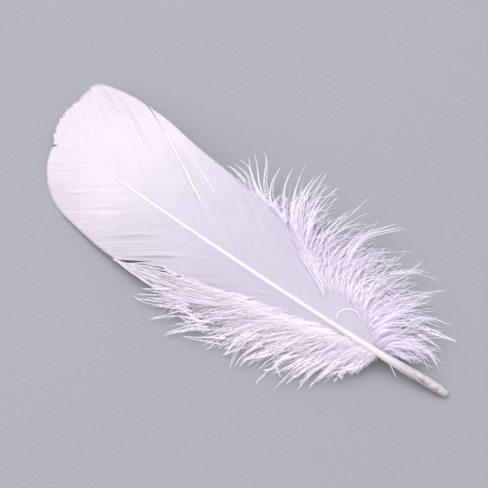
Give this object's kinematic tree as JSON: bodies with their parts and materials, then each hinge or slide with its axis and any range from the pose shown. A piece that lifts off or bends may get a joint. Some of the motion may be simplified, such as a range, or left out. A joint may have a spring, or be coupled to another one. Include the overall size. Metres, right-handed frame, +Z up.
{
  "type": "goose body feather with downy base",
  "caption": "White goose feather with a broad rounded vane, a tapering shaft, a bare quill end and a loose downy fringe at the base.",
  "frame": {"origin": "under the middle of the feather's box, on the surface that it lies on", "axes": "+X along the shaft towards the quill end, +Y towards the wider downy side, +Z up out of the outer (convex) face"},
  "size_m": [0.151, 0.0702, 0.011],
  "materials": {
    "quill_horn": "satin, slightly see-through ivory keratin, white along the vane and faintly mottled at the bare quill",
    "vane_barbs": "soft silky white web of fine slanting barbs",
    "down_barbs": "matt, airy white fluff"
  },
  "bodies": {
    "root": {"shaft": "quill_horn", "far_vane": "vane_barbs", "near_vane": "vane_barbs", "far_down": "down_barbs", "near_down": "down_barbs"}
  },
  "joints": []
}
